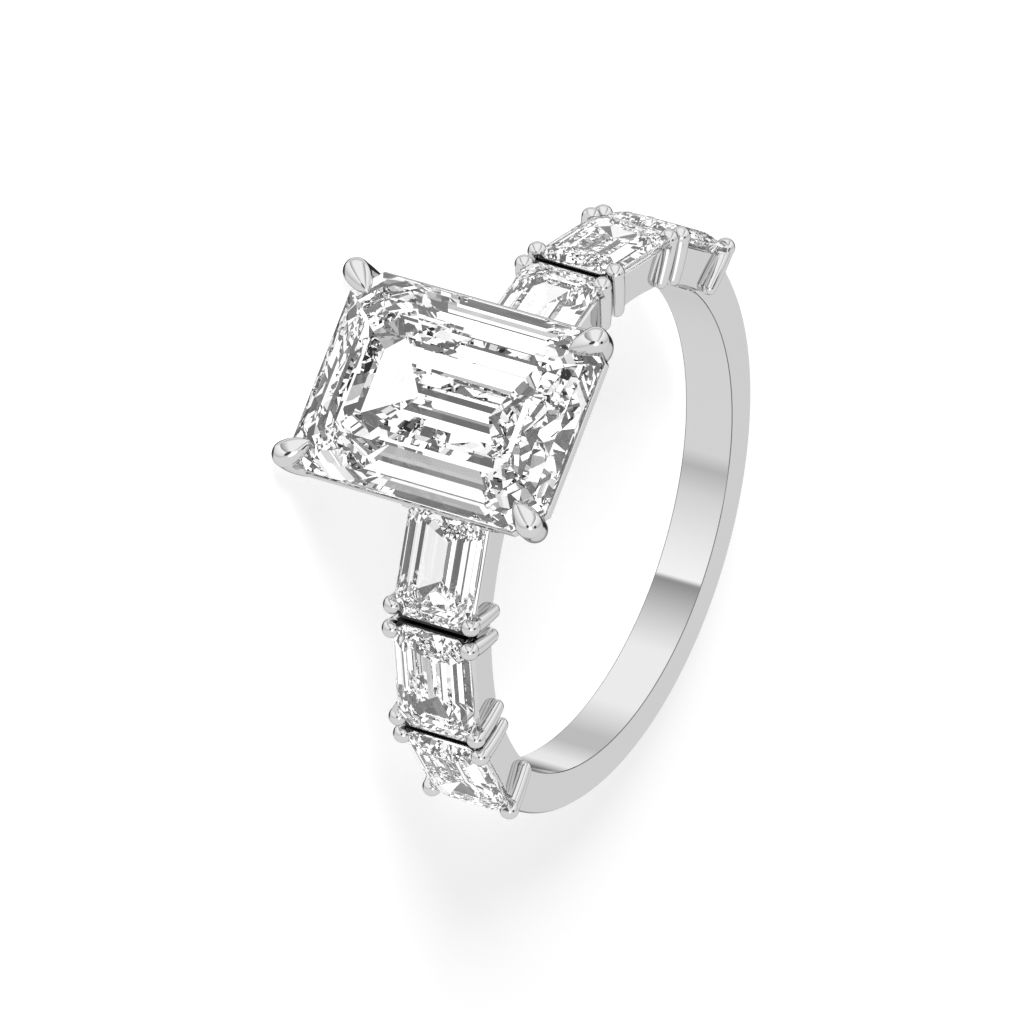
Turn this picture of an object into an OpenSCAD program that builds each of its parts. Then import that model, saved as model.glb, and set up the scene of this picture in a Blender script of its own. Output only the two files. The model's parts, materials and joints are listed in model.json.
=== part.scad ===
// Ring with an emerald-cut centre stone in four claws and three emerald-cut stones on each shoulder,
// each held by four ball prongs. It lies on its side, resting on the edge of the shank opposite the head
// and on the lower claws. Lengths in mm, +Z up, the head towards -Y.

/* [Shank] */
// Inner radius of the ring
finger_r = 8.25; // [8:0.05:8.5]
// Radius of the shank's outer circle
shank_r = 9.69; // [9.6:0.01:9.8]
// How far that circle's centre sits towards the head
shank_shift = 0.26; // [0.2:0.01:0.3]
// Width of the shank along the finger
shank_w = 1.75; // [1.6:0.05:1.9]
// Bevel on the shank's edges
edge_bevel = 0.05; // [0.03:0.01:0.08]
// Angle from the head at which the shank starts
shank_start = 85; // [84:0.5:86]

/* [Side stones] */
// Length along the band
side_len = 4.0; // [3.9:0.02:4.04]
// Width across the band
side_wid = 2.84; // [2.76:0.02:2.88]
// Cut of the corners
side_cut = 0.4; // [0.35:0.01:0.45]
// Distance from the finger axis to the table
side_table = 10.06; // [10.02:0.01:10.1]
// Angle from the head to the first stone
first_angle = 26.6; // [26.5:0.1:26.8]
// Angle from one stone to the next
step_angle = 25.25; // [25.1:0.05:25.4]

/* [Baskets] */
// Half width at the finger
wall_in = 1.3; // [1.28:0.01:1.32]
// Distance from the finger axis to a wall's straight lower edge
wall_low = 8.18; // [8.16:0.01:8.2]
// Half width at the rim
wall_out = 1.43; // [1.41:0.01:1.45]
// Distance from the finger axis to the rim
rim = 9.53; // [9.48:0.01:9.56]
// Half width of the opening under a stone
opening_w = 1.08; // [1.0:0.01:1.1]
// Half length of the opening under a stone
opening_l = 1.5; // [1.4:0.02:1.54]
// Radius of a ball prong's head
ball_r = 0.32; // [0.28:0.01:0.34]
// Distance from the finger axis to the balls' centres
ball_d = 9.76; // [9.72:0.01:9.8]
// Distance of the balls from the stone's middle, along the band
ball_s = 1.757; // [1.73:0.01:1.78]
// Distance of the balls from the stone's middle, across the band
ball_z = 1.44; // [1.42:0.01:1.46]
// Distance of a prong's foot from the stone's middle, along the band
foot_s = 1.17; // [1.1:0.01:1.24]

/* [Centre stone] */
// Length across the band
centre_len = 9.24; // [9:0.02:9.4]
// Width along the band
centre_wid = 6.88; // [6.7:0.02:7]
// Cut of the corners
centre_cut = 0.86; // [0.8:0.01:0.92]
// Distance from the finger axis to the table
centre_table = 13.45; // [13.4:0.01:13.5]

/* [Head] */
// Half height of the rail's band under the girdle
rail_h = 0.17; // [0.14:0.01:0.18]
// How far the rail stands out from the girdle
rail_out = 0.09; // [0.06:0.01:0.1]
// Radius of the claws' round ends
claw_r = 0.45; // [0.42:0.01:0.48]
// Radius of the claws' inner points
claw_tip_r = 0.16; // [0.14:0.01:0.18]
// Radius of the claws' shafts where they meet the bridge
claw_foot_r = 0.36; // [0.34:0.01:0.38]
// Distance from the finger axis to the top of the bridge
bridge_top = 9.0; // [8.9:0.02:9.04]

/* [Fit] */
// Gap between a stone and the metal
gap = 0.04; // [0.03:0.005:0.05]

/* [Hidden] */
$fn = 48;
// Steps of the stones: half length, half width, corner cut and height under the table
centre_steps = [
    [centre_len / 2 - 1.36, centre_wid / 2 - 1.36, centre_cut - 0.32, 0],
    [centre_len / 2 - 0.84, centre_wid / 2 - 0.84, centre_cut - 0.2, 0.24],
    [centre_len / 2 - 0.38, centre_wid / 2 - 0.38, centre_cut - 0.09, 0.56],
    [centre_len / 2, centre_wid / 2, centre_cut, 0.95],
    [centre_len / 2, centre_wid / 2, centre_cut, 1.08],
    [centre_len / 2 - 0.72, centre_wid / 2 - 0.72, centre_cut - 0.1, 2.16],
    [centre_len / 2 - 1.78, centre_wid / 2 - 1.78, centre_cut - 0.3, 3.18]
];
centre_keel = [centre_len / 2 - centre_wid / 2 + 0.1, 4.2];
side_steps = [
    [side_len / 2 - 0.56, side_wid / 2 - 0.56, side_cut - 0.12, 0],
    [side_len / 2 - 0.35, side_wid / 2 - 0.35, side_cut - 0.08, 0.07],
    [side_len / 2 - 0.16, side_wid / 2 - 0.16, side_cut - 0.04, 0.16],
    [side_len / 2, side_wid / 2, side_cut, 0.28],
    [side_len / 2, side_wid / 2, side_cut, 0.32],
    [side_len / 2 - 0.26, side_wid / 2 - 0.26, side_cut - 0.05, 0.74],
    [side_len / 2 - 0.68, side_wid / 2 - 0.68, side_cut - 0.14, 1.22]
];
side_keel = [side_len / 2 - side_wid / 2 + 0.06, 1.66];

// Claws, from the bridge up: foot, knee beside the girdle, round end and inner point
claw_foot = [1.5, 1.15, 8.75];
claw_knee = [3.18, 4.42, 12.35];
claw_top = [3.18, 4.48, 12.88];
claw_tip = [2.67, 3.87, 12.98];
claw_knee_r = claw_r - 0.02;

// Rest: the shank's far edge and the lower claws' knees touch the ground
far_y = shank_shift + edge_bevel - shank_r;
far_z = -shank_w / 2;
reach_y = claw_knee[2] - far_y;
reach_z = claw_knee[1] + far_z;
tilt = atan(reach_z / reach_y) + asin(claw_knee_r / norm([reach_y, reach_z]));
lift = -far_y * sin(tilt) - far_z * cos(tilt);

// Outermost points of the box, at the far edge of the shank and at the upper claws or the table
back_y = (shank_r - shank_shift - edge_bevel) * cos(tilt) + shank_w / 2 * sin(tilt);
front_y = max(claw_top[2] * cos(tilt) + claw_top[1] * sin(tilt) + claw_r,
    centre_table * cos(tilt) + (centre_len / 2 - 1.36) * sin(tilt));
middle = (front_y - back_y) / 2;

steel = [0.86, 0.87, 0.88];
clear = [0.93, 0.96, 1.0];

// Ring frame: finger axis along Z and head towards +Y, laid down on its side
module rest() {
    translate([0, middle, lift]) rotate([-tilt, 0, 0]) rotate([0, 0, 180]) children();
}

// A place on the band: X along it, Y across it, Z away from the finger axis
module at(angle) {
    rotate([0, 0, -angle]) rotate([-90, 0, 0]) children();
}

// A round rod from one point to another
module rod(a, b, ra, rb) {
    d = b - a;
    translate(a) rotate([0, acos(d[2] / norm(d)), atan2(d[1], d[0])])
        cylinder(h = norm(d), r1 = ra, r2 = rb);
}

// Corners of one step of a stone, grown by g
function loop(s, g) = let (a = s[0] + g, b = s[1] + g, c = s[2] + 0.59 * g, z = -s[3]) [
    [a, c - b, z], [a, b - c, z], [a - c, b, z], [c - a, b, z],
    [-a, b - c, z], [-a, c - b, z], [c - a, -b, z], [a - c, -b, z]
];

// Step-cut stone with its table at Z = 0 and a keel along X, grown by g
module step_stone(steps, keel, g = 0) {
    n = len(steps);
    points = [
        for (i = [0:n - 1]) each loop([steps[i][0], steps[i][1], steps[i][2],
            steps[i][3] - (i == 0 ? g : 0)], g),
        [keel[0] + g, 0, -keel[1] - 1.4 * g],
        [-keel[0] - g, 0, -keel[1] - 1.4 * g]
    ];
    last = 8 * (n - 1);
    k = 8 * n;
    faces = [
        [7, 6, 5, 4, 3, 2, 1, 0],
        for (i = [0:n - 2], j = [0:7])
            [8 * i + j, 8 * i + (j + 1) % 8, 8 * i + 8 + (j + 1) % 8, 8 * i + 8 + j],
        [last, last + 1, k], [last + 1, last + 2, k], [last + 2, last + 3, k + 1, k],
        [last + 3, last + 4, k + 1], [last + 4, last + 5, k + 1], [last + 5, last + 6, k + 1],
        [last + 6, last + 7, k, k + 1], [last + 7, last, k]
    ];
    polyhedron(points, faces);
}

module centre_cut_stone(g = 0) {
    at(0) rotate([0, 0, 90]) translate([0, 0, centre_table]) step_stone(centre_steps, centre_keel, g);
}

module side_cut_stone(angle, g = 0) {
    at(angle) translate([0, 0, side_table]) step_stone(side_steps, side_keel, g);
}

// Shank, left open where the baskets take over
module shank() {
    reach = 2 * shank_r;
    difference() {
        translate([0, shank_shift, 0]) rotate_extrude($fn = 96) polygon([
            [0, -shank_w / 2], [shank_r - edge_bevel, -shank_w / 2],
            [shank_r, edge_bevel - shank_w / 2], [shank_r, shank_w / 2 - edge_bevel],
            [shank_r - edge_bevel, shank_w / 2], [0, shank_w / 2]
        ]);
        translate([0, 0, -shank_w]) linear_extrude(2 * shank_w) polygon([
            [0, 0], [reach * sin(shank_start), reach * cos(shank_start)], [reach, reach],
            [-reach, reach], [-reach * sin(shank_start), reach * cos(shank_start)]
        ]);
    }
}

// One basket: flaring walls joined at both ends, with an opening under the stone
module basket() {
    far = ball_s + 0.18;
    difference() {
        intersection() {
            rotate([90, 0, 90]) linear_extrude(5, center = true) polygon([
                [-wall_in, wall_low], [wall_in, wall_low], [wall_out, rim - 0.09],
                [wall_out - 0.07, rim - 0.06],
                [wall_out - 0.14, rim], [0.14 - wall_out, rim], [0.07 - wall_out, rim - 0.06],
                [-wall_out, rim - 0.09]
            ]);
            rotate([90, 0, 0]) linear_extrude(4, center = true) polygon([
                [-1.96, wall_low - 0.1], [1.96, wall_low - 0.1], [1.99, 8.95], [far - 0.1, rim + 0.1],
                [0.1 - far, rim + 0.1], [-1.99, 8.95]
            ]);
        }
        translate([-opening_l, -opening_w, 7.5]) cube([2 * opening_l, 2 * opening_w, 3]);
    }
}

// The four ball prongs of a basket
module prongs() {
    for (x = [-1, 1], y = [-1, 1]) {
        rod([x * (foot_s - 0.1), y * (wall_in - 0.01), 7.95], [x * ball_s, y * ball_z, ball_d], 0.18, 0.29);
        translate([x * ball_s, y * ball_z, ball_d]) sphere(ball_r);
    }
}

// Bridge, rail and claws of the head
module head() {
    a = centre_wid / 2 + rail_out;
    b = centre_len / 2 + rail_out;
    c = centre_cut + 0.05;
    translate([-2.4, -wall_in, 8]) cube([4.8, 2 * wall_in, bridge_top - 8]);
    translate([0, 0, centre_table - centre_steps[4][3] - 2 * rail_h]) linear_extrude(2 * rail_h)
        polygon([
            [a, c - b], [a, b - c], [a - c, b], [c - a, b],
            [-a, b - c], [-a, c - b], [c - a, -b], [a - c, -b]
        ]);
    for (x = [-1, 1], y = [-1, 1]) {
        foot = [x * claw_foot[0], y * claw_foot[1], claw_foot[2]];
        knee = [x * claw_knee[0], y * claw_knee[1], claw_knee[2]];
        top = [x * claw_top[0], y * claw_top[1], claw_top[2]];
        tip = [x * claw_tip[0], y * claw_tip[1], claw_tip[2]];
        rod(foot, knee, claw_foot_r, claw_knee_r - 0.02);
        translate(knee) sphere(claw_knee_r);
        rod(knee, top, claw_knee_r - 0.02, claw_r - 0.02);
        translate(top) sphere(claw_r);
        rod(top + (tip - top) / 4, tip, 0.89 * claw_r, claw_tip_r - 0.005);
        translate(tip) sphere(claw_tip_r);
    }
}

// All soldered metal as one solid
module mount() color(steel) rest() difference() {
    union() {
        shank();
        for (side = [-1, 1], i = [0:2]) at(side * (first_angle + i * step_angle)) {
            basket();
            prongs();
        }
        at(0) head();
    }
    cylinder(h = 12, r = finger_r, center = true, $fn = 96);
    centre_cut_stone(gap);
    for (side = [-1, 1], i = [0:2]) side_cut_stone(side * (first_angle + i * step_angle), gap);
}

module centre_stone() color(clear) rest() centre_cut_stone();

module side_stone(n) color(clear) rest()
    side_cut_stone((n > 3 ? -1 : 1) * (first_angle + ((n - 1) % 3) * step_angle));

mount();
centre_stone();
side_stone(1);  // side_stone_1
side_stone(2);  // side_stone_2
side_stone(3);  // side_stone_3
side_stone(4);  // side_stone_4
side_stone(5);  // side_stone_5
side_stone(6);  // side_stone_6
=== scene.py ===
"""Side stone ring: polished white gold with an emerald-cut centre stone and six emerald-cut side stones.

Shapes are worked out in millimetres in the ring's own frame, with the finger axis along Z and the head
towards +Y, and are laid down on the ground in metres at the end.
"""

import json
import math

import bmesh
import bpy
from bpy.props import FloatProperty, FloatVectorProperty, IntProperty, PointerProperty
from mathutils import Euler, Matrix, Vector

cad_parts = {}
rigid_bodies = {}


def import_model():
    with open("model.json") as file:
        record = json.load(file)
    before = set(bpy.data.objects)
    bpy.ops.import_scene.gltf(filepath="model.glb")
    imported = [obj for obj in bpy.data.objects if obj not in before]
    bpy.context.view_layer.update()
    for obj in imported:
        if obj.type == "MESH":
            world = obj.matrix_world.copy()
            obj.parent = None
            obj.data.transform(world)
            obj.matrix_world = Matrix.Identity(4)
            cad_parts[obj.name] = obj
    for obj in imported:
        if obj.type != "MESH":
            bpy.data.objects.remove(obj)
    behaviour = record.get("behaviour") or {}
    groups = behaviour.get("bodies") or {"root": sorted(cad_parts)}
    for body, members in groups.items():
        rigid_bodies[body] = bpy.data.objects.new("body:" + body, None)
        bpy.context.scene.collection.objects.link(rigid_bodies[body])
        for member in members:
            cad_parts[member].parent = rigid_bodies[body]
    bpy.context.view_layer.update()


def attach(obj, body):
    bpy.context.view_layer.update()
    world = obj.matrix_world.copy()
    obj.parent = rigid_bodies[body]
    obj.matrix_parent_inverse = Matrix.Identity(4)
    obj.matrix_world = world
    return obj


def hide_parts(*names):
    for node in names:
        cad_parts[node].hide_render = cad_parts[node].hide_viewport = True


bl_info = {
    "name": "Side Stone Ring",
    "version": (1, 0, 0),
    "blender": (4, 5, 0),
    "location": "View3D > Sidebar > Ring",
    "description": "Builds a white gold ring with emerald-cut stones around its packed frame",
    "category": "Object",
}

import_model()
SIDES = (-1, 1)


def millimetres(name, text, value, low=0.0, high=50.0):
    """A size in millimetres for the sidebar."""
    return FloatProperty(name=name, description=text, default=value, min=low, max=high, precision=3)


class RingSizes(bpy.types.PropertyGroup):
    """Shank and rest, in millimetres."""

    finger_r: millimetres("Finger radius", "Inner radius of the ring", 8.25)
    shank_r: millimetres("Outer radius", "Radius of the shank's outer circle", 9.69)
    shank_shift: millimetres("Outer shift", "How far that circle's centre sits towards the head", 0.26)
    shank_w: millimetres("Width", "Width of the shank along the finger", 1.75)
    edge_bevel: millimetres("Edge bevel", "Bevel on the shank's edges", 0.05)
    shank_start: FloatProperty(
        name="Start", description="Angle from the head where the shank starts",
        default=math.radians(88.5), subtype="ANGLE", unit="ROTATION",
    )


class SideSizes(bpy.types.PropertyGroup):
    """Side stones, their baskets and ball prongs, in millimetres."""

    length: millimetres("Length", "Stone's length along the band", 4.0)
    width: millimetres("Width", "Stone's width across the band", 2.84)
    cut: millimetres("Corner cut", "Cut of the stone's corners", 0.4)
    table: millimetres("Table", "Distance from the finger axis to the table", 10.06)
    first_angle: FloatProperty(
        name="First stone", description="Angle from the head to the first stone",
        default=math.radians(26.6), subtype="ANGLE", unit="ROTATION",
    )
    step_angle: FloatProperty(
        name="Step", description="Angle from one stone to the next",
        default=math.radians(25.25), subtype="ANGLE", unit="ROTATION",
    )
    wall_in: millimetres("Wall at the finger", "Half width of a basket at the finger", 1.3)
    wall_out: millimetres("Wall at the rim", "Half width of a basket at its rim", 1.43)
    wall_low: millimetres("Lower edge", "Distance from the finger axis to a wall's straight lower edge", 8.18)
    rim: millimetres("Rim", "Distance from the finger axis to the rim", 9.53)
    rim_scoop: millimetres("Rim scoop", "How much lower the rim is in its middle", 0.035)
    opening_w: millimetres("Opening width", "Half width of the opening under a stone", 1.08)
    opening_l: millimetres("Opening length", "Half length of the opening under a stone", 1.5)
    ball_r: millimetres("Ball radius", "Radius of a ball prong's head", 0.32)
    ball_d: millimetres("Ball height", "Distance from the finger axis to the balls' centres", 9.76)
    ball_s: millimetres("Ball along", "Distance of the balls from the stone's middle along the band", 1.757)
    ball_z: millimetres("Ball across", "Distance of the balls from the stone's middle across the band", 1.44)


class HeadSizes(bpy.types.PropertyGroup):
    """Centre stone, claws, rail and bridge, in millimetres."""

    length: millimetres("Length", "Stone's length across the band", 9.24)
    width: millimetres("Width", "Stone's width along the band", 6.88)
    cut: millimetres("Corner cut", "Cut of the stone's corners", 0.86)
    table: millimetres("Table", "Distance from the finger axis to the table", 13.45)
    rail_h: millimetres("Rail", "Half height of the rail under the girdle", 0.17)
    rail_out: millimetres("Rail stand-out", "How far the rail stands out from the girdle", 0.09)
    claw_r: millimetres("Claw", "Radius of the claws' round ends", 0.45)
    claw_tip_r: millimetres("Claw tip", "Radius of the claws' inner points", 0.16)
    claw_foot_r: millimetres("Claw foot", "Radius of the claws' shafts at the bridge", 0.36)
    bridge_top: millimetres("Bridge", "Distance from the finger axis to the top of the bridge", 9.0)
    gap: millimetres("Gap", "How much larger a seat is cut than its stone", 0.04)
    sides: IntProperty(
        name="Sides", description="Sides of the rounds in the claws and prongs", default=32, min=8, max=64
    )


class RingColours(bpy.types.PropertyGroup):
    """Colours of the metal, the stones and the ground."""

    metal: FloatVectorProperty(
        name="White gold", description="Colour of the polished metal", subtype="COLOR", size=4,
        default=(0.64, 0.64, 0.642, 1), min=0, max=1,
    )
    stone: FloatVectorProperty(
        name="Stone", description="Colour of the stones", subtype="COLOR", size=4,
        default=(1, 1, 1, 1), min=0, max=1,
    )
    ground: FloatVectorProperty(
        name="Ground", description="Colour of the ground", subtype="COLOR", size=4,
        default=(0.9, 0.9, 0.9, 1), min=0, max=1,
    )


# Places of the claws: foot on the bridge, knee beside the girdle, round end and inner point
CLAW_FOOT = (1.5, 1.15, 8.75)
CLAW_KNEE = (3.18, 4.42, 12.35)
CLAW_TOP = (3.18, 4.48, 12.88)
CLAW_TIP = (2.67, 3.87, 12.98)

# Upright plate at each end of a basket: places along the band, distances from the finger axis, half width
END_PLATE = ((1.7, 8.9), (1.97, 8.9), (1.98, 8.95), (2.1, 9.7), (1.7, 9.7))
PLATE_HALF = 1.22

# A basket's end, from the finger up: places along the band and distances from the finger axis
BASKET_END = ((1.96, 8.08), (1.99, 8.95))

# Edge of a basket's rim: distances in from the wall and down from the rim
RIM_EDGE = ((0, 0.09), (0.02, 0.07), (0.07, 0.055), (0.14, 0))

# A prong's foot and knee: how far in from the ball along and across the band, distance from the finger axis
PRONG_FOOT = (0.33, 0.03, 8.37)
PRONG_KNEE = (0.16, -0.03, 9.1)
PRONG_RADII = (0.25, 0.29, 0.3)

# A basket's end with painted shade: least distance along the band, greatest across it, least from the finger
# axis
PAINTED_SHADE_END = (1.88, 1.2, 8.6)

# Angles from the head in radians between which the ends get painted shade: stones 2 and 3 keep a bright gap
# without it
PAINTED_SHADE_GAPS = (-1.3, 1)

# Half length of the bridge along the band
BRIDGE_HALF = 2.4

# Reach of the cutters: the openings' from the finger axis, and half length of the finger's
OPENING_REACH = (7, 11)
FINGER_HALF = 3

# Bevels of the rail's upper and lower edge, and how far in its hidden edge lies, as a share
RAIL_BEVELS = (0.02, 0.04)
RAIL_INNER = 0.8

# Bow of a claw's shaft under its knee: along the band, across it and away from the finger
CLAW_BOW = (0.03, -0.04, -0.35)

# Lean of the one claw that is pressed down closer, and how bluntly a claw's end tapers
CLAW_LEAN = (-0.04, 0.15, 0)
CLAW_TAPER = 0.8

# How far the normal of the shank's fine edges, which get a painted dark reflection, points along the finger,
# from and to
EDGE_SLOPE = (0.2, 0.95)

# Angles from the head in degrees between which the shank's outer edges stay bright, without the painted dark
# reflection
BRIGHT_BACK = (125, 225)

# Camera of the photograph in the ring's frame: turn in degrees, aim, distance and lens in millimetres
CAMERA_TURN = (-30.21, -59.98, -44.89)
CAMERA_AIM = (-0.57, 0.91, -2.1)
CAMERA_DISTANCE = 547.4
CAMERA_LENS = 593.1

# Brightness of the room round the metal, over the angle above its horizon: at its sides and behind the ring
WALL_LIGHT = ((-16, 1.0), (-8, 0.7), (6, 1.0), (43, 1.4), (44.5, 0.4), (65, 1.3))
END_LIGHT = ((-30, 1.0), (-25, 0.3), (-7, 0.3), (6, 1.4), (15, 1.3), (30, 0.8), (40, 0.8), (60, 1.3))

# Round spots: direction right, up and near, radius in degrees and brightness
ROOM_SPOTS = (
    ((0.15, -0.5, 0.85), 14, 1.8), ((-0.25, -0.25, 0.95), 11, 0.08), ((0.75, -0.3, 0.6), 11, 0.08),
    ((-0.4, 0.25, -0.9), 17, 0.05), ((0.45, 0.25, -0.85), 17, 0.05), ((-0.7, 0.1, -0.7), 17, 0.1),
)

# Half width of the ground in metres
GROUND_HALF = 3

# Light on the ground from all round and from the lamp
GROUND_LIGHT = 0.1
LAMP_POWER = 0.6

# The lamp's direction right, up and near, its distance and its width in metres
LAMP_DIRECTION = (0.12, 0.75, 0.95)
LAMP_DISTANCE = 0.3
LAMP_WIDTH = 0.15

# Shares of up and near in the upright direction of the metal's room, and half width of its soft corners
ROOM_UP = (0.9, 0.436)
ROOM_CORNER = 0.05

# Where a spot's soft edge starts and ends, as shares of its radius
SPOT_EDGE = (0.8, 1.25)

# Softboxes that the stones see: places, half width and soft edge of their dark gaps in degrees, brightness
SOFTBOX_GAPS = (-55, -28, 0, 28, 55)
GAP_HALF = 5.5
GAP_EDGE = 3
GAP_LIGHT = 0.15
SOFTBOX_LIGHT = 1.4

# How the softboxes wane and swell across the picture, where in degrees, and the dark viewer before them
SOFTBOX_SWELL = (0.65, 1.1)
SWELL_PLACES = range(-70, 71, 20)
VIEWER_SPOT = (((0, 0, 1), 14, 0.15),)

# Steps of the stones: inset of the outline, change of the corner cut and depth under the table
CENTRE_STEPS = (
    (1.36, -0.32, 0), (0.84, -0.2, 0.24), (0.38, -0.09, 0.56), (0, 0, 0.95), (0, 0, 1.08),
    (0.72, -0.1, 2.16), (1.25, -0.2, 2.72), (1.78, -0.3, 3.18),
)
CENTRE_KEEL = (0.1, 4.2)
SIDE_STEPS = (
    (0.56, -0.12, 0), (0.35, -0.08, 0.07), (0.16, -0.04, 0.16), (0, 0, 0.28), (0, 0, 0.32),
    (0.26, -0.05, 0.74), (0.5, -0.1, 1.04), (0.68, -0.14, 1.22),
)
SIDE_KEEL = (0.06, 1.66)

# How much the corner cut and the keel's depth grow with a stone's outline
CUT_GROWTH = 0.59
KEEL_GROWTH = 1.4

# Points of a metal piece that are closer than this become one, and edges sharper than this stay sharp
MERGE_DISTANCE = 1e-4
SHARP_ANGLE = math.radians(26)


# Light


def softbox_stops():
    """Brightness over the angle up the picture: bright softboxes with a dark gap between each two."""
    stops = []
    for gap in SOFTBOX_GAPS:
        stops += [
            (gap - GAP_HALF - GAP_EDGE, SOFTBOX_LIGHT), (gap - GAP_HALF, GAP_LIGHT),
            (gap + GAP_HALF, GAP_LIGHT), (gap + GAP_HALF + GAP_EDGE, SOFTBOX_LIGHT),
        ]
    return stops


# Directions and places


def studio_axes():
    """Right, up and towards the viewer in the photograph, in the ring's frame."""
    turn = Euler([math.radians(angle) for angle in CAMERA_TURN], "XYZ").to_matrix()
    return turn.col[0].copy(), turn.col[1].copy(), turn.col[2].copy()


def rest_matrix():
    """From the ring's frame in millimetres to the ground's in metres: the ring lies on its side."""
    ring, head = bpy.context.scene.ring_sizes, bpy.context.scene.head_sizes
    far_y = ring.shank_shift + ring.edge_bevel - ring.shank_r
    reach_y, reach_z = CLAW_KNEE[2] - far_y, CLAW_KNEE[1] - ring.shank_w / 2
    knee_r = head.claw_r - 0.02
    tilt = math.atan2(reach_z, reach_y) + math.asin(knee_r / math.hypot(reach_y, reach_z))
    sin, cos = math.sin(tilt), math.cos(tilt)
    lift = -far_y * sin + ring.shank_w / 2 * cos
    back = -far_y * cos + ring.shank_w / 2 * sin - 2 * ring.edge_bevel * cos
    front = CLAW_TOP[2] * cos + CLAW_TOP[1] * sin + head.claw_r
    middle = (max(front, head.table * cos + (head.length / 2 - CENTRE_STEPS[0][0]) * sin) - back) / 2
    return (
        Matrix.Scale(0.001, 4) @ Matrix.Translation((0, middle, lift))
        @ Matrix.Rotation(-tilt, 4, "X") @ Matrix.Rotation(math.pi, 4, "Z")
    )


def band_place(angle):
    """A place on the band: X along it, Y across it and Z away from the finger axis."""
    return Matrix.Rotation(-angle, 4, "Z") @ Matrix.Rotation(-math.pi / 2, 4, "X")


def stone_angles():
    """Angles of the side stones from the head, in the order of their nodes."""
    side = bpy.context.scene.side_sizes
    return [s * (side.first_angle + i * side.step_angle) for s in (1, -1) for i in range(3)]


# Meshes


def mesh_object(name, points, faces, edges=()):
    """A new object in the scene from points and faces."""
    mesh = bpy.data.meshes.new(name)
    mesh.from_pydata([tuple(p) for p in points], list(edges), list(faces))
    mesh.update()
    obj = bpy.data.objects.new(name, mesh)
    bpy.context.scene.collection.objects.link(obj)
    return obj


def drop(*objs):
    """Removes helper objects and their meshes."""
    for obj in objs:
        mesh = obj.data
        bpy.data.objects.remove(obj)
        bpy.data.meshes.remove(mesh)


def outline_prism(name, outline, low, high, axis="Z"):
    """An outline (u, v) drawn out along an axis, where u and v are the other two in the order X, Y, Z."""
    n = len(outline)
    order = {
        "X": lambda u, v, w: (w, u, v), "Y": lambda u, v, w: (u, w, v), "Z": lambda u, v, w: (u, v, w),
    }[axis]
    points = [order(u, v, w) for w in (low, high) for u, v in outline]
    faces = [tuple(range(n))[::-1], tuple(range(n, 2 * n))]
    faces += [(i, (i + 1) % n, n + (i + 1) % n, n + i) for i in range(n)]
    obj = mesh_object(name, points, faces)
    point_outwards(obj.data)
    return obj


def finger_arc(radius, reach):
    """Points on the finger's circle, every half degree up to an angle on both sides of the head."""
    turns = [math.radians(0.5 * i - reach) for i in range(4 * reach + 1)]
    return [(radius * math.sin(t), radius * math.cos(t)) for t in turns]


def point_outwards(mesh):
    """Turns every face of a closed mesh outwards."""
    shape = bmesh.new()
    shape.from_mesh(mesh)
    bmesh.ops.recalc_face_normals(shape, faces=shape.faces)
    shape.to_mesh(mesh)
    shape.free()


def finish_metal(obj, metal):
    """Cleans a metal piece, makes it smooth except over sharp edges and gives it its node."""
    shape = bmesh.new()
    shape.from_mesh(obj.data)
    bmesh.ops.remove_doubles(shape, verts=shape.verts, dist=MERGE_DISTANCE)
    bmesh.ops.dissolve_degenerate(shape, edges=shape.edges, dist=MERGE_DISTANCE)
    shape.to_mesh(obj.data)
    shape.free()
    obj.data.materials.clear()
    obj.data.materials.append(metal)
    obj.data.shade_smooth()
    obj.data.set_sharp_from_angle(angle=SHARP_ANGLE)
    obj.visible_transmission = False
    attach(obj, "root")
    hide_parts("mount")


def bake(obj, name):
    """A plain mesh object of what an object's modifiers make."""
    depsgraph = bpy.context.evaluated_depsgraph_get()
    mesh = bpy.data.meshes.new_from_object(obj.evaluated_get(depsgraph))
    mesh.name = name
    made = bpy.data.objects.new(name, mesh)
    bpy.context.scene.collection.objects.link(made)
    drop(obj)
    return made


# Cut stones


def stone_loop(half_l, half_w, cut, inset, more_cut, depth, grow):
    """Corners of one step of a stone, from above and anticlockwise."""
    a, b = half_l - inset + grow, half_w - inset + grow
    c = cut + more_cut + CUT_GROWTH * grow
    return [
        (a, c - b, -depth), (a, b - c, -depth), (a - c, b, -depth), (c - a, b, -depth),
        (-a, b - c, -depth), (-a, c - b, -depth), (c - a, -b, -depth), (a - c, -b, -depth),
    ]


def cut_stone(name, length, width, cut, steps, keel, grow=0.0):
    """A step-cut stone with its table at Z = 0 and its keel along X."""
    points = []
    for i, (inset, more_cut, depth) in enumerate(steps):
        low = depth - (grow if i == 0 else 0)
        points += stone_loop(length / 2, width / 2, cut, inset, more_cut, low, grow)
    half_keel = (length - width) / 2 + keel[0] + grow
    low = -keel[1] - KEEL_GROWTH * grow
    points += [(half_keel, 0, low), (-half_keel, 0, low)]
    faces = [tuple(range(8))]
    for i in range(len(steps) - 1):
        for j in range(8):
            u, v = 8 * i + j, 8 * i + (j + 1) % 8
            faces.append((v, u, u + 8, v + 8))
    last = 8 * (len(steps) - 1)
    k = last + 8
    ends = ((0, 1, k), (1, 2, k), (2, 3, k + 1, k), (3, 4, k + 1), (4, 5, k + 1), (5, 6, k + 1),
            (6, 7, k, k + 1), (7, 0, k))
    for face in ends:
        faces.append(tuple(v if v >= k else last + v for v in face)[::-1])
    obj = mesh_object(name, points, faces)
    point_outwards(obj.data)
    return obj


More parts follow.
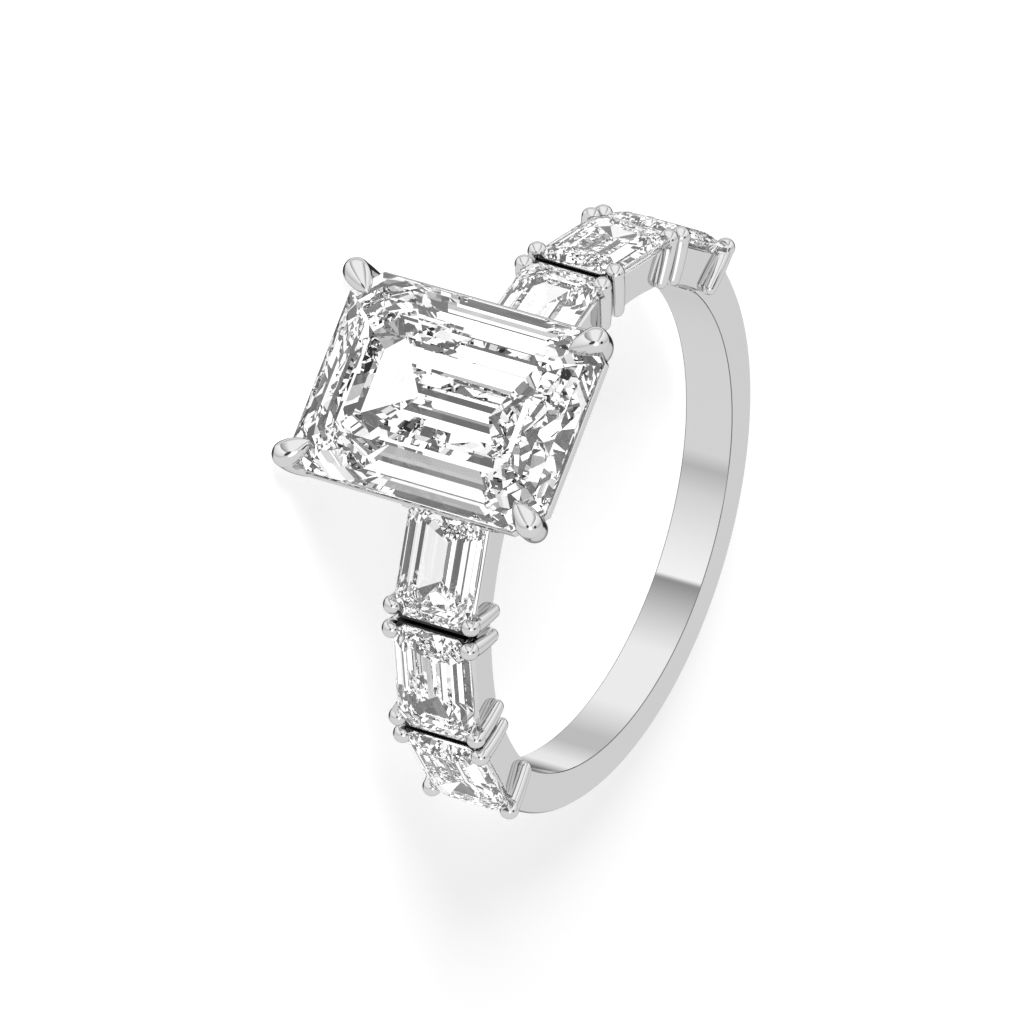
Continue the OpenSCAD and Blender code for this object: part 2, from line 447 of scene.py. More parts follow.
def centre_shape(name, grow=0.0):
    """The centre stone in the ring's frame."""
    head = bpy.context.scene.head_sizes
    obj = cut_stone(name, head.length, head.width, head.cut, CENTRE_STEPS, CENTRE_KEEL, grow)
    obj.data.transform(
        band_place(0) @ Matrix.Rotation(math.pi / 2, 4, "Z") @ Matrix.Translation((0, 0, head.table))
    )
    return obj


def side_shape(name, grow=0.0):
    """A side stone in its basket's frame."""
    side = bpy.context.scene.side_sizes
    obj = cut_stone(name, side.length, side.width, side.cut, SIDE_STEPS, SIDE_KEEL, grow)
    obj.data.transform(Matrix.Translation((0, 0, side.table)))
    return obj


# Nodes


def feed(tree, node, values):
    """Sets a node's inputs to values, or links them to other nodes' outputs."""
    for label, value in values.items():
        if isinstance(value, bpy.types.NodeSocket):
            tree.links.new(value, node.inputs[label])
        else:
            node.inputs[label].default_value = value
    return node


def add(tree, kind, values=None, **settings):
    """A new node of a tree, with its settings made and its inputs fed."""
    node = tree.nodes.new(kind)
    for name, value in settings.items():
        setattr(node, name, value)
    return feed(tree, node, values or {})


# Node trees for the metal


def new_tree(name, sockets):
    """A Geometry Nodes tree with named inputs: returns the tree, its input and output nodes."""
    tree = bpy.data.node_groups.new(name, "GeometryNodeTree")
    tree.interface.new_socket("Geometry", in_out="OUTPUT", socket_type="NodeSocketGeometry")
    for label, kind in sockets:
        tree.interface.new_socket(label, in_out="INPUT", socket_type=kind)
    tree.is_modifier = True
    return tree, tree.nodes.new("NodeGroupInput"), tree.nodes.new("NodeGroupOutput")


def run_tree(obj, tree, values):
    """Puts a tree on an object, with its inputs set by their identifiers."""
    modifier = obj.modifiers.new(tree.name, "NODES")
    modifier.node_group = tree
    for item in tree.interface.items_tree:
        if item.item_type == "SOCKET" and item.in_out == "INPUT" and item.name in values:
            modifier[item.identifier] = values[item.name]


def rod_tree():
    """Round rods along an object's edges, as thick as its attribute says, with round feet and a ball."""
    tree, inputs, outputs = new_tree("rods_with_balls", [
        ("Geometry", "NodeSocketGeometry"), ("Sides", "NodeSocketInt"), ("Ball radius", "NodeSocketFloat"),
        ("Material", "NodeSocketMaterial"),
    ])
    given = inputs.outputs
    curve = add(tree, "GeometryNodeMeshToCurve", {"Mesh": given["Geometry"]}).outputs["Curve"]
    ring = add(tree, "GeometryNodeCurvePrimitiveCircle", {"Radius": 1, "Resolution": given["Sides"]})
    named = add(tree, "GeometryNodeInputNamedAttribute", {"Name": "thickness"}, data_type="FLOAT")
    thickness = named.outputs["Attribute"]
    rods = add(tree, "GeometryNodeCurveToMesh", {
        "Fill Caps": True, "Curve": curve, "Profile Curve": ring.outputs["Curve"], "Scale": thickness,
    })

    def balls(starts, ends, radius, scale):
        """Balls at the rods' starts or ends."""
        chosen = add(tree, "GeometryNodeCurveEndpointSelection", {"Start Size": starts, "End Size": ends})
        ball = add(tree, "GeometryNodeMeshUVSphere", {
            "Segments": given["Sides"], "Rings": given["Sides"], "Radius": radius,
        })
        placed = add(tree, "GeometryNodeInstanceOnPoints", {
            "Points": curve, "Selection": chosen.outputs["Selection"], "Instance": ball.outputs["Mesh"],
            "Scale": scale,
        })
        return placed.outputs["Instances"]

    heads = balls(0, 1, given["Ball radius"], (1, 1, 1))
    feet = balls(1, 0, 1, thickness)
    both = add(tree, "GeometryNodeJoinGeometry")
    for geometry in (rods.outputs["Mesh"], heads, feet):
        tree.links.new(geometry, both.inputs["Geometry"])
    finish_tree(tree, inputs, outputs, both.outputs["Geometry"])
    return tree


def setting_tree(name, cutters):
    """Joins an object with its rods, cuts seats out of both and sets the result at each place."""
    tree, inputs, outputs = new_tree(name, [
        ("Geometry", "NodeSocketGeometry"), ("Rods", "NodeSocketObject"), ("Places", "NodeSocketObject"),
        ("Material", "NodeSocketMaterial"),
    ] + [(label, "NodeSocketObject") for label in cutters])

    def shape_of(label):
        """The shape of an object that the tree is given."""
        info = add(tree, "GeometryNodeObjectInfo", {"Object": inputs.outputs[label]})
        return info.outputs["Geometry"]

    def boolean(operation, values):
        """An exact boolean of meshes."""
        return add(tree, "GeometryNodeMeshBoolean", values, operation=operation, solver="EXACT")

    joined = boolean("UNION", {"Self Intersection": True})
    for geometry in (inputs.outputs["Geometry"], shape_of("Rods")):
        tree.links.new(geometry, joined.inputs["Mesh 2"])
    cut = boolean("DIFFERENCE", {"Mesh 1": joined.outputs["Mesh"]})
    for label in cutters:
        tree.links.new(shape_of(label), cut.inputs["Mesh 2"])
    turn = add(tree, "GeometryNodeInputNamedAttribute", {"Name": "turn"}, data_type="FLOAT_VECTOR")
    copies = add(tree, "GeometryNodeInstanceOnPoints", {
        "Points": shape_of("Places"), "Instance": cut.outputs["Mesh"], "Rotation": turn.outputs["Attribute"],
    })
    finish_tree(tree, inputs, outputs, copies.outputs["Instances"])
    return tree


def finish_tree(tree, inputs, outputs, geometry):
    """Ends a tree in Realize Instances and Set Material."""
    real = add(tree, "GeometryNodeRealizeInstances", {"Geometry": geometry})
    painted = add(tree, "GeometryNodeSetMaterial", {
        "Geometry": real.outputs["Geometry"], "Material": inputs.outputs["Material"],
    })
    tree.links.new(painted.outputs["Geometry"], outputs.inputs["Geometry"])


def path_object(name, paths):
    """Edges along paths of (point, thickness)."""
    points, edges, thickness = [], [], []
    for path in paths:
        start = len(points)
        points += [p for p, _ in path]
        thickness += [t for _, t in path]
        edges += [(start + i, start + i + 1) for i in range(len(path) - 1)]
    obj = mesh_object(name, points, (), edges)
    layer = obj.data.attributes.new("thickness", "FLOAT", "POINT")
    layer.data.foreach_set("value", thickness)
    return obj


def places_object(name, turns):
    """One point at the origin for each turn, with the turn as an attribute."""
    obj = mesh_object(name, [(0, 0, 0)] * len(turns), ())
    layer = obj.data.attributes.new("turn", "FLOAT_VECTOR", "POINT")
    layer.data.foreach_set("vector", [v for t in turns for v in t])
    return obj


def bent_path(points, radii, steps=14):
    """Points and thicknesses on a curve from the first point to the last, bent towards those between."""
    made = []
    count = len(points) - 1
    for i in range(steps + 1):
        t = i / steps
        p, r = Vector((0, 0, 0)), 0.0
        for k, q in enumerate(points):
            w = math.comb(count, k) * t**k * (1 - t) ** (count - k)
            p += w * Vector(q)
            r += w * radii[k]
        made.append((tuple(p), r))
    return made


# Operators


class RING_OT_shank(bpy.types.Operator):
    """Builds the flat shank with its bevelled edges"""

    bl_idname = "ring.shank"
    bl_label = "Shank"

    def execute(self, context):
        ring = context.scene.ring_sizes
        half, bevel, shift = ring.shank_w / 2, ring.edge_bevel, ring.shank_shift
        stops = 200
        rows = []
        for i in range(stops + 1):
            angle = ring.shank_start + (2 * math.pi - 2 * ring.shank_start) * i / stops
            outer = shift * math.cos(angle) + math.sqrt(ring.shank_r**2 - (shift * math.sin(angle)) ** 2)
            inner = ring.finger_r
            fine = 0.6 * bevel
            profile = [
                (inner, fine - half), (inner + fine / 2, -half),
                (outer - bevel, -half), (outer, bevel - half),
                (outer, half - bevel), (outer - bevel, half), (inner + fine / 2, half), (inner, half - fine),
            ]
            rows.append([(r * math.sin(angle), r * math.cos(angle), z) for r, z in profile])
        n = len(rows[0])
        points = [p for row in rows for p in row]
        faces = [
            (i * n + j, i * n + (j + 1) % n, (i + 1) * n + (j + 1) % n, (i + 1) * n + j)
            for i in range(stops) for j in range(n)
        ]
        faces += [tuple(range(n)), tuple(range(stops * n, stops * n + n))]
        obj = mesh_object("shank", points, faces)
        point_outwards(obj.data)
        finish_metal(obj, white_gold())
        # Painted dark reflection: sloped fine edges, on the inner edge all round and on the outer edges
        # outside the back, get a dark colour in place of the dark they would mirror.
        obj.data.materials.append(painted_edge_reflection())
        for face in obj.data.polygons:
            x, y, _ = face.center
            beyond = math.degrees(math.atan2(x, y)) % 360
            outside_back = beyond < BRIGHT_BACK[0] or beyond > BRIGHT_BACK[1]
            shows = math.hypot(x, y) < ring.finger_r + bevel or outside_back
            if EDGE_SLOPE[0] < abs(face.normal.z) < EDGE_SLOPE[1] and shows:
                face.material_index = 1
        obj.data.transform(rest_matrix())
        return {"FINISHED"}


class RING_OT_baskets(bpy.types.Operator):
    """Builds the six baskets of the side stones with their ball prongs"""

    bl_idname = "ring.baskets"
    bl_label = "Baskets and ball prongs"

    def execute(self, context):
        ring, side, head = context.scene.ring_sizes, context.scene.side_sizes, context.scene.head_sizes
        basket = self.walls(side)
        rods = self.prongs(side, head)
        opening = outline_prism("opening", [
            (-side.opening_l, -side.opening_w), (side.opening_l, -side.opening_w),
            (side.opening_l, side.opening_w), (-side.opening_l, side.opening_w),
        ], *OPENING_REACH)
        seat = side_shape("seat", head.gap)
        below = [(5, 4), (-5, 4)]
        finger = outline_prism(
            "finger", finger_arc(ring.finger_r, 30) + below, -FINGER_HALF, FINGER_HALF, "Y"
        )
        scoop = self.scoop(side)
        places = places_object("basket_places", [(0, 0, -a) for a in stone_angles()])
        for obj in (basket, rods, opening, seat, finger, scoop):
            obj.data.transform(Matrix.Rotation(-math.pi / 2, 4, "X"))
        tree = setting_tree("baskets_round_the_band", ["Opening", "Seat", "Finger", "Scoop"])
        run_tree(basket, tree, {
            "Rods": rods, "Places": places, "Material": rounded_gold_painted_rims(), "Opening": opening,
            "Seat": seat, "Finger": finger, "Scoop": scoop,
        })
        made = bake(basket, "baskets")
        drop(rods, opening, seat, finger, scoop, places)
        finish_metal(made, rounded_gold_painted_rims())
        self.paint_shade_on_ends(made, side)
        made.data.transform(rest_matrix())
        return {"FINISHED"}

    def paint_shade_on_ends(self, made, side):
        """Paints shade on the baskets' ends towards other baskets and the head, except between stones 2 and
        3: a dark colour standing in for the shadow in the slots.
        """
        made.data.materials.append(painted_slot_shade())
        angles = stone_angles()
        turns = [band_place(angle).inverted() for angle in angles]
        for face in made.data.polygons:
            places = [turn @ face.center for turn in turns]
            place, angle = min(zip(places, angles), key=lambda p: abs(p[0].x))
            gap = angle + math.copysign(side.step_angle / 2, place.x)
            off_ball = Vector((
                abs(place.x) - side.ball_s, abs(place.y) - side.ball_z, place.z - side.ball_d,
            )).length
            along, across, height = PAINTED_SHADE_END
            at_end = abs(place.x) > along and abs(place.y) < across and place.z > height
            if at_end and off_ball > side.ball_r + 0.01 and PAINTED_SHADE_GAPS[0] < gap < PAINTED_SHADE_GAPS[1]:
                face.material_index = 1

    def walls(self, side):
        """A solid block with flaring sides, bevels, ends that lean in over a V and a plate at each end."""
        rim, out = side.rim, side.wall_out
        section = [
            (-side.wall_in, side.wall_low), (side.wall_in, side.wall_low),
            *((out - into, rim - down) for into, down in RIM_EDGE),
            *((into - out, rim - down) for into, down in reversed(RIM_EDGE)),
        ]
        block = outline_prism("basket", section, -2.5, 2.5, "X")
        shape = bmesh.new()
        shape.from_mesh(block.data)
        far = side.ball_s + 0.08
        low, middle = BASKET_END
        for (x0, z0), (x1, z1) in ((low, middle), (middle, (far, rim))):
            for s in SIDES:
                normal = Vector((s * (z1 - z0), 0, x0 - x1))
                everything = shape.verts[:] + shape.edges[:] + shape.faces[:]
                cut = bmesh.ops.bisect_plane(
                    shape, geom=everything, plane_co=(s * x0, 0, z0), plane_no=normal, clear_outer=True
                )
                edges = [e for e in cut["geom_cut"] if isinstance(e, bmesh.types.BMEdge)]
                bmesh.ops.holes_fill(shape, edges=edges)
        shape.to_mesh(block.data)
        shape.free()
        point_outwards(block.data)
        plates = [
            outline_prism("end_plate", [(s * x, z) for x, z in END_PLATE], -PLATE_HALF, PLATE_HALF, "Y")
            for s in SIDES
        ]
        return join("basket", [block] + plates)

    def prongs(self, side, head):
        """The four prongs of a basket, a little bent, each with its ball."""
        paths = []
        for x in SIDES:
            for y in SIDES:
                foot, knee = (
                    (x * (side.ball_s - along), y * (side.ball_z - across), height)
                    for along, across, height in (PRONG_FOOT, PRONG_KNEE)
                )
                top = (x * side.ball_s, y * side.ball_z, side.ball_d)
                paths.append(bent_path([foot, knee, top], PRONG_RADII))
        rods = path_object("prongs", paths)
        run_tree(rods, rod_tree(), {
            "Sides": head.sides, "Ball radius": side.ball_r, "Material": rounded_gold_painted_rims()
        })
        return bake(rods, "prongs")

    def scoop(self, side):
        """What the rim loses in its middle: a slab with a slightly bulging lower side."""
        half = side.ball_s - 0.25
        low = [
            (half * (i / 12 - 1), side.rim + 0.002 - side.rim_scoop * (1 - (i / 12 - 1) ** 2))
            for i in range(25)
        ]
        return outline_prism("scoop", low + [(half, side.rim + 0.5), (-half, side.rim + 0.5)], -2, 2, "Y")


class RING_OT_head(bpy.types.Operator):
    """Builds the head: bridge, rail under the girdle and four claws"""

    bl_idname = "ring.head"
    bl_label = "Head and claws"

    def execute(self, context):
        ring, side, head = context.scene.ring_sizes, context.scene.side_sizes, context.scene.head_sizes
        rail = self.rail(head)
        bridge = outline_prism("bridge", [
            (-BRIDGE_HALF, 8), (BRIDGE_HALF, 8),
            (BRIDGE_HALF, head.bridge_top), (-BRIDGE_HALF, head.bridge_top),
        ], -side.wall_in, side.wall_in, "Y")
        bridge.data.transform(band_place(0))
        claws = self.claws(head)
        seat = centre_shape("seat", head.gap)
        finger = outline_prism("finger", finger_arc(ring.finger_r, 45), -FINGER_HALF, FINGER_HALF)
        places = places_object("head_place", [(0, 0, 0)])
        tree = setting_tree("head_with_seat", ["Seat", "Finger"])
        with_bridge = join("rail_and_bridge", [rail, bridge])
        run_tree(with_bridge, tree, {
            "Rods": claws, "Places": places, "Material": rounded_gold_painted_rims(), "Seat": seat, "Finger": finger
        })
        made = bake(with_bridge, "head")
        drop(claws, seat, finger, places)
        finish_metal(made, rounded_gold_painted_rims())
        self.flat_rail(made, head)
        made.data.transform(rest_matrix())
        return {"FINISHED"}

    def flat_rail(self, made, head):
        """Gives the rail's upright faces the plain white gold of the flat parts, without the painted rim
        shade.
        """
        made.data.materials.append(white_gold())
        top = head.table - CENTRE_STEPS[4][2]
        for face in made.data.polygons:
            x, y, z = face.center
            off_claw = math.hypot(abs(x) - CLAW_KNEE[0], abs(z) - CLAW_KNEE[1])
            if top - 2 * head.rail_h - 0.01 < y < top + 0.01 and off_claw > head.claw_r + 0.15:
                face.material_index = 1

    def rail(self, head):
        """The rail's band round the stone under its girdle, with bevelled edges."""
        top = head.table - CENTRE_STEPS[4][2]
        upper, lower = RAIL_BEVELS
        loops = []
        for out, y in (
            (0.0, top), (head.rail_out - upper, top), (head.rail_out, top - upper),
            (head.rail_out, top - 2 * head.rail_h + lower), (head.rail_out - lower, top - 2 * head.rail_h),
        ):
            loops.append([
                (p[0], p[1], y)
                for p in stone_loop(head.length / 2, head.width / 2, head.cut, 0, 0, 0, out)
            ])
        inner = [(RAIL_INNER * p[0], RAIL_INNER * p[1], p[2]) for p in loops[-1]]
        inner_top = [(p[0], p[1], top) for p in inner]
        loops = [inner_top] + loops[1:] + [inner]
        points = [p for loop in loops for p in loop]
        count = len(loops)
        faces = [
            (8 * i + j, 8 * i + (j + 1) % 8, 8 * ((i + 1) % count) + (j + 1) % 8, 8 * ((i + 1) % count) + j)
            for i in range(count) for j in range(8)
        ]
        obj = mesh_object("rail", points, faces)
        obj.data.transform(band_place(0) @ Matrix.Rotation(math.pi / 2, 4, "Z"))
        point_outwards(obj.data)
        return obj

    def claws(self, head):
        """The four claws: bent shafts with heads like drops."""
        paths = []
        for x in SIDES:
            for y in SIDES:
                foot, knee, top = (
                    Vector((x * p[0], -y * p[1], p[2])) for p in (CLAW_FOOT, CLAW_KNEE, CLAW_TOP)
                )
                knee += self.lean(x, y)
                top += self.lean(x, y)
                middle = tuple((a + b) / 2 for a, b in zip(foot, knee))
                under = (knee[0] + CLAW_BOW[0] * x, knee[1] + CLAW_BOW[1] * y, knee[2] + CLAW_BOW[2])
                paths.append(
                    [(tuple(foot), head.claw_foot_r), (middle, (head.claw_foot_r + head.claw_r) / 2 - 0.02)]
                    + bent_path([tuple(0.3 * m + 0.7 * u for m, u in zip(middle, under)), under, top],
                                [head.claw_r - 0.03, head.claw_r - 0.01, head.claw_r - 0.01], 10)
                )
        shafts = path_object("claw_shafts", paths)
        run_tree(shafts, rod_tree(), {
            "Sides": head.sides, "Ball radius": head.claw_r - 0.01, "Material": rounded_gold_painted_rims()
        })
        shafts = bake(shafts, "claw_shafts")
        drops = []
        for x in SIDES:
            for y in SIDES:
                drop_head = self.claw_head(head)
                inward = Vector((
                    x * (CLAW_TIP[0] - CLAW_TOP[0]), -y * (CLAW_TIP[1] - CLAW_TOP[1]),
                    CLAW_TIP[2] - CLAW_TOP[2],
                ))
                up = Vector((0, 0, 1))
                across = up.cross(inward).normalized()
                lifted = inward.cross(across).normalized()
                turn = Matrix((inward.normalized(), across, lifted)).transposed().to_4x4()
                place = Matrix.Translation((x * CLAW_TOP[0], -y * CLAW_TOP[1], CLAW_TOP[2]))
                drop_head.data.transform(place @ turn)
                drop_head.data.transform(Matrix.Translation(self.lean(x, y)))
                drops.append(drop_head)
        claws = join("claws", [shafts] + drops)
        claws.data.transform(band_place(0))
        return claws

    def lean(self, x, y):
        """How far a claw leans out of its regular place: one of them is pressed down a little closer."""
        return Vector(CLAW_LEAN) if (x, y) == (1, 1) else Vector((0, 0, 0))

    def claw_head(self, head):
        """A drop lying along X with its round end at the origin."""
        big = head.claw_r
        reach = (Vector(CLAW_TIP) - Vector(CLAW_TOP)).length + head.claw_tip_r
        stations = []
        for i in range(1, 9):
            t = math.pi - math.pi / 2 * i / 8
            stations.append((big * math.cos(t), big * math.sin(t)))
        for i in range(1, 15):
            t = math.sin(math.pi / 2 * i / 15)
            stations.append((reach * t, big * (1 - t * t) ** CLAW_TAPER))
        n = head.sides
        points, faces = [(-big, 0, 0)], []
        for x, r in stations:
            for j in range(n):
                a = 2 * math.pi * j / n
                points.append((x, r * math.cos(a), r * math.sin(a)))
        points.append((reach, 0, 0))
        count = len(stations)
        for j in range(n):
            faces.append((0, 1 + j, 1 + (j + 1) % n))
            faces.append((len(points) - 1, 1 + (count - 1) * n + (j + 1) % n, 1 + (count - 1) * n + j))
        for i in range(count - 1):
            for j in range(n):
                a, b = 1 + i * n, 1 + (i + 1) * n
                faces.append((a + j, b + j, b + (j + 1) % n, a + (j + 1) % n))
        obj = mesh_object("claw_head", points, faces)
        point_outwards(obj.data)
        return obj


def join(name, objs):
    """One object from several."""
    shape = bmesh.new()
    for obj in objs:
        shape.from_mesh(obj.data)
    mesh = bpy.data.meshes.new(name)
    shape.to_mesh(mesh)
    shape.free()
    drop(*objs)
    made = bpy.data.objects.new(name, mesh)
    bpy.context.scene.collection.objects.link(made)
    return made


class RING_OT_centre_stone(bpy.types.Operator):
    """Cuts the centre stone"""

    bl_idname = "ring.centre_stone"
    bl_label = "Centre stone"

    def execute(self, context):
        obj = centre_shape("centre_emerald_cut")
        set_stone(obj, rest_matrix(), "centre_stone")
        return {"FINISHED"}


class RING_OT_side_stones(bpy.types.Operator):
    """Cuts the six side stones"""

    bl_idname = "ring.side_stones"
    bl_label = "Side stones"

    def execute(self, context):
        for i, angle in enumerate(stone_angles(), 1):
            obj = side_shape(f"side_emerald_cut_{i}")
            set_stone(obj, rest_matrix() @ band_place(angle), f"side_stone_{i}")
        return {"FINISHED"}


def set_stone(obj, matrix, node):
    """Puts a stone in its place with clear facets."""
    obj.data.transform(matrix)
    obj.data.materials.append(clear_stone())
    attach(obj, "root")
    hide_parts(node)


class RING_OT_stage(bpy.types.Operator):
    """Builds the ground, the studio light and the camera"""

    bl_idname = "ring.stage"
    bl_label = "Stage"

    def execute(self, context):
        h = GROUND_HALF
        ground = mesh_object("ground", [(-h, -h, 0), (h, -h, 0), (h, h, 0), (-h, h, 0)], [(0, 1, 2, 3)])
        ground.data.materials.append(pale_ground())
        ground.visible_glossy = False
        ground.visible_transmission = False
        self.light(context.scene)
        self.camera(context.scene)
        return {"FINISHED"}

    def light(self, scene):
        """A white room for the metal, softboxes for the stones and a soft lamp from above the viewer."""
        world = bpy.data.worlds.new("studio")
        world.use_nodes = True
        scene.world = world
        tree = world.node_tree
        view = add(tree, "ShaderNodeTexCoord").outputs["Generated"]
        rest = rest_matrix().to_3x3() * 1000
        right, up, near = (rest @ axis for axis in studio_axes())
        room_up, front = up * ROOM_UP[0] + near * ROOM_UP[1], near * ROOM_UP[0] - up * ROOM_UP[1]

        def along(axis):
            """How far the view points along an axis."""
            values = {0: view, 1: axis.normalized()}
            return add(tree, "ShaderNodeVectorMath", values, operation="DOT_PRODUCT").outputs["Value"]

        def calculate(operation, a, b=0.0):
            """The result of one operation on two values."""
            return add(tree, "ShaderNodeMath", {0: a, 1: b}, operation=operation).outputs[0]

        def rise(value, start, end):
            """A smooth rise from 0 to 1 between two values."""
            values = {"Value": value, "From Min": start, "From Max": end}
            node = add(tree, "ShaderNodeMapRange", values, interpolation_type="SMOOTHSTEP")
            return node.outputs["Result"]

        def blend(factor, a, b):
            """One value where the factor is 0 and another where it is 1."""
            return add(tree, "ShaderNodeMix", {"Factor": factor, "A": a, "B": b}).outputs["Result"]

        def profile(angle, stops):
            """Brightness over an angle, from stops in degrees, halved to stay inside a colour's range."""
            place = calculate("ADD", calculate("DIVIDE", angle, math.pi), 0.5)
            ramp = add(tree, "ShaderNodeValToRGB", {"Fac": place})
            elements = ramp.color_ramp.elements
            while len(elements) < len(stops):
                elements.new(0.5)
            for element, (degrees, value) in zip(elements, stops):
                element.position = degrees / 180 + 0.5
                element.color = (value / 2, value / 2, value / 2, 1)
            return calculate("MULTIPLY", ramp.outputs["Color"], 2.0)

        def spots(light, table):
            """The light with soft-edged round spots in it."""
            for (x, y, z), degrees, value in table:
                inner, outer = (math.cos(math.radians(share * degrees)) for share in SPOT_EDGE)
                light = blend(rise(along(x * right + y * up + z * near), outer, inner), light, value)
            return light

        height, side, depth = along(room_up), calculate("ABSOLUTE", along(right)), along(-front)
        walls = profile(calculate("ARCTAN2", height, side), WALL_LIGHT)
        end = profile(calculate("ARCTAN2", height, depth), END_LIGHT)
        room = blend(rise(calculate("SUBTRACT", depth, side), -ROOM_CORNER, ROOM_CORNER), walls, end)
        room = spots(room, ROOM_SPOTS)
        softboxes = profile(calculate("ARCSINE", along(up)), softbox_stops())
        swell = [(place, SOFTBOX_SWELL[i % 2]) for i, place in enumerate(SWELL_PLACES)]
        softboxes = calculate("MULTIPLY", softboxes, profile(calculate("ARCSINE", along(right)), swell))
        softboxes = spots(softboxes, VIEWER_SPOT)
        path = add(tree, "ShaderNodeLightPath")
        shown = blend(path.outputs["Is Transmission Ray"], room, softboxes)
        shown = blend(path.outputs["Is Diffuse Ray"], shown, GROUND_LIGHT)
        shown = blend(path.outputs["Is Camera Ray"], shown, 1.0)
        feed(tree, tree.nodes["Background"], {"Color": shown, "Strength": 1.0})
        lamp = bpy.data.lights.new("soft_lamp", "AREA")
        lamp.shape, lamp.size, lamp.energy = "DISK", LAMP_WIDTH, LAMP_POWER
        lamp_object = bpy.data.objects.new("soft_lamp", lamp)
        lamp_object.visible_glossy = False
        lamp_object.visible_transmission = False
        scene.collection.objects.link(lamp_object)
        x, y, z = LAMP_DIRECTION
        lamp_object.location = LAMP_DISTANCE * (y * up + x * right + z * near).normalized()
        lamp_object.rotation_euler = (-Vector(lamp_object.location)).to_track_quat("-Z", "Y").to_euler()

    def camera(self, scene):
        """The camera of the photograph."""
        right, up, near = studio_axes()
        data = bpy.data.cameras.new("photo_camera")
        data.sensor_width = 36
        data.lens = CAMERA_LENS
        data.clip_start, data.clip_end = 0.01, 10
        data.dof.use_dof = False
        camera = bpy.data.objects.new("photo_camera", data)
        scene.collection.objects.link(camera)
        rest = rest_matrix()
        turn = Matrix.Scale(1000, 4).to_3x3() @ rest.to_3x3() @ Matrix((right, up, near)).transposed()
        camera.rotation_euler = turn.to_euler()
        camera.location = rest @ (Vector(CAMERA_AIM) + CAMERA_DISTANCE * near)
        scene.camera = camera


# Materials


def material(name, build):
    """A node material, made once."""
    made = bpy.data.materials.get(name)
    if made is None:
        made = bpy.data.materials.new(name)
        made.use_nodes = True
        build(made.node_tree, made.node_tree.nodes["Principled BSDF"])
    return made


def noise(tree, values):
    """A noise in the piece's own coordinates."""
    place = add(tree, "ShaderNodeTexCoord")
    return add(tree, "ShaderNodeTexNoise", {"Vector": place.outputs["Object"], **values}).outputs["Fac"]


def mix(tree, factor, first, second):
    """A colour between two others."""
    values = {"A": first, "B": second, "Factor": factor}
    return add(tree, "ShaderNodeMix", values, data_type="RGBA").outputs["Result"]


def polish(tree, shader):
    """Mirror polish with faint polishing marks."""
    marks = noise(tree, {"Scale": 900, "Detail": 4})
    gloss = add(tree, "ShaderNodeMapRange", {"Value": marks, "To Min": 0.015, "To Max": 0.05})
    feed(tree, shader, {
        "Metallic": 1, "Specular Tint": (0.78, 0.78, 0.78, 1),
        "Base Color": bpy.context.scene.ring_colours.metal, "Roughness": gloss.outputs["Result"],
    })


def white_gold():
    """Mirror-polished white gold."""
    return material("white_gold", polish)


def rounded_gold_painted_rims():
    """White gold of the small rounded parts, with painted shade where their surface turns away, standing in
    for the dark they would mirror.
    """

    def build(tree, shader):
        polish(tree, shader)
        turned_away = add(tree, "ShaderNodeLayerWeight")
        rim = add(tree, "ShaderNodeMapRange", {
            "From Min": 0.72, "From Max": 0.97, "Value": turned_away.outputs["Facing"],
        }).outputs["Result"]
        # Painted shade: base colour and specular tint turn dark near the outlines, where the surface turns
        # away from the viewer.
        for label in ("Base Color", "Specular Tint"):
            shade = mix(tree, rim, shader.inputs[label].default_value, (0.1, 0.1, 0.1, 1))
            feed(tree, shader, {label: shade})

    return material("rounded_gold_painted_rims", build)


def painted_edge_reflection():
    """Painted dark reflection on the shank's fine edges: polished metal with a dark colour standing in for
    the dark it would mirror.
    """

    def build(tree, shader):
        polish(tree, shader)
        feed(tree, shader, {"Base Color": (0.17, 0.17, 0.172, 1)})

    return material("painted_edge_reflection", build)


def painted_slot_shade():
    """Painted shade for the baskets' ends: dark, unpolished metal that stands in for the shadow in the slots
    between baskets.
    """

    def build(tree, shader):
        # Painted shade: near-black colour with a faint random mottle.
        end_shade_tone = mix(tree, noise(tree, {"Scale": 4000}), (0.03, 0.03, 0.03, 1), (0.07, 0.07, 0.07, 1))
        feed(tree, shader, {"Base Color": end_shade_tone, "Metallic": 1, "Roughness": 0.45})

    return material("painted_slot_shade", build)


def clear_stone():
    """Colourless stone with polished facets and a hardly visible haze."""

    def build(tree, shader):
        stone = bpy.context.scene.ring_colours.stone
        haze = mix(tree, noise(tree, {"Scale": 500}), stone, (0.98, 0.982, 0.985, 1))
        feed(tree, shader, {
            "Base Color": haze, "Transmission Weight": 1, "IOR": 2.417, "Roughness": 0,
            "Specular Tint": (0.3, 0.3, 0.3, 1),
        })

    return material("clear_stone", build)


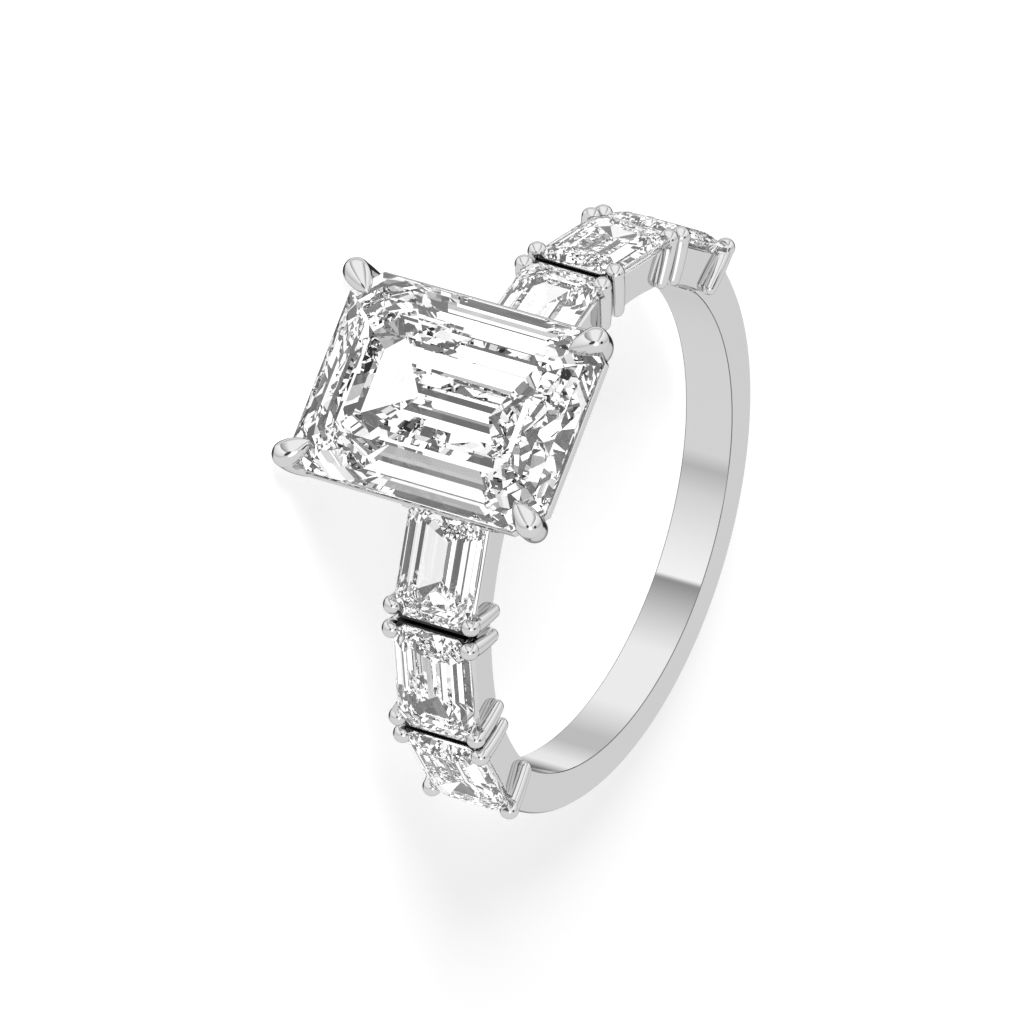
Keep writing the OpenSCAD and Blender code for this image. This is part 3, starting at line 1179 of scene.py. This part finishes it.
def pale_ground():
    """Matt pale ground with a hardly visible mottle."""

    def build(tree, shader):
        colour = bpy.context.scene.ring_colours.ground
        mottle = mix(tree, noise(tree, {"Scale": 60}), [0.99 * c for c in colour[:3]] + [1], colour)
        feed(tree, shader, {
            "Base Color": mottle, "Roughness": 0.9, "Specular IOR Level": 0.1,
            "Emission Color": (1, 1, 1, 1), "Emission Strength": 0.7,
        })

    return material("pale_ground", build)


class RING_PT_sidebar(bpy.types.Panel):
    """Sizes, colours and steps of the ring"""

    bl_idname = "RING_PT_sidebar"
    bl_label = "Side Stone Ring"
    bl_space_type = "VIEW_3D"
    bl_region_type = "UI"
    bl_category = "Ring"

    def draw(self, context):
        scene = context.scene
        for group in (scene.ring_sizes, scene.side_sizes, scene.head_sizes, scene.ring_colours):
            box = self.layout.box()
            for name in group.__annotations__:
                box.prop(group, name)
        for operator in STEPS:
            self.layout.operator(operator.bl_idname)


STEPS = (
    RING_OT_shank, RING_OT_baskets, RING_OT_head, RING_OT_centre_stone, RING_OT_side_stones, RING_OT_stage,
)
GROUPS = {
    "ring_sizes": RingSizes, "side_sizes": SideSizes, "head_sizes": HeadSizes, "ring_colours": RingColours
}


def register():
    """Adds the sizes, colours, operators and panel."""
    for group in GROUPS.values():
        bpy.utils.register_class(group)
    for name, group in GROUPS.items():
        setattr(bpy.types.Scene, name, PointerProperty(type=group))
    for operator in STEPS:
        bpy.utils.register_class(operator)
    bpy.utils.register_class(RING_PT_sidebar)


def unregister():
    """Takes them away again."""
    bpy.utils.unregister_class(RING_PT_sidebar)
    for operator in reversed(STEPS):
        bpy.utils.unregister_class(operator)
    for name, group in reversed(GROUPS.items()):
        delattr(bpy.types.Scene, name)
        bpy.utils.unregister_class(group)


def main():
    """Registers the add-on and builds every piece."""
    register()
    for obj in list(bpy.data.objects):
        if obj.name in ("Cube", "Light", "Camera"):
            bpy.data.objects.remove(obj)
    for operator in STEPS:
        group, name = operator.bl_idname.split(".")
        getattr(getattr(bpy.ops, group), name)()
    scene = bpy.context.scene
    scene.view_settings.view_transform = "Standard"
    scene.cycles.max_bounces = 28
    scene.cycles.glossy_bounces = 20
    scene.cycles.transmission_bounces = 28


if __name__ == "__main__":
    main()
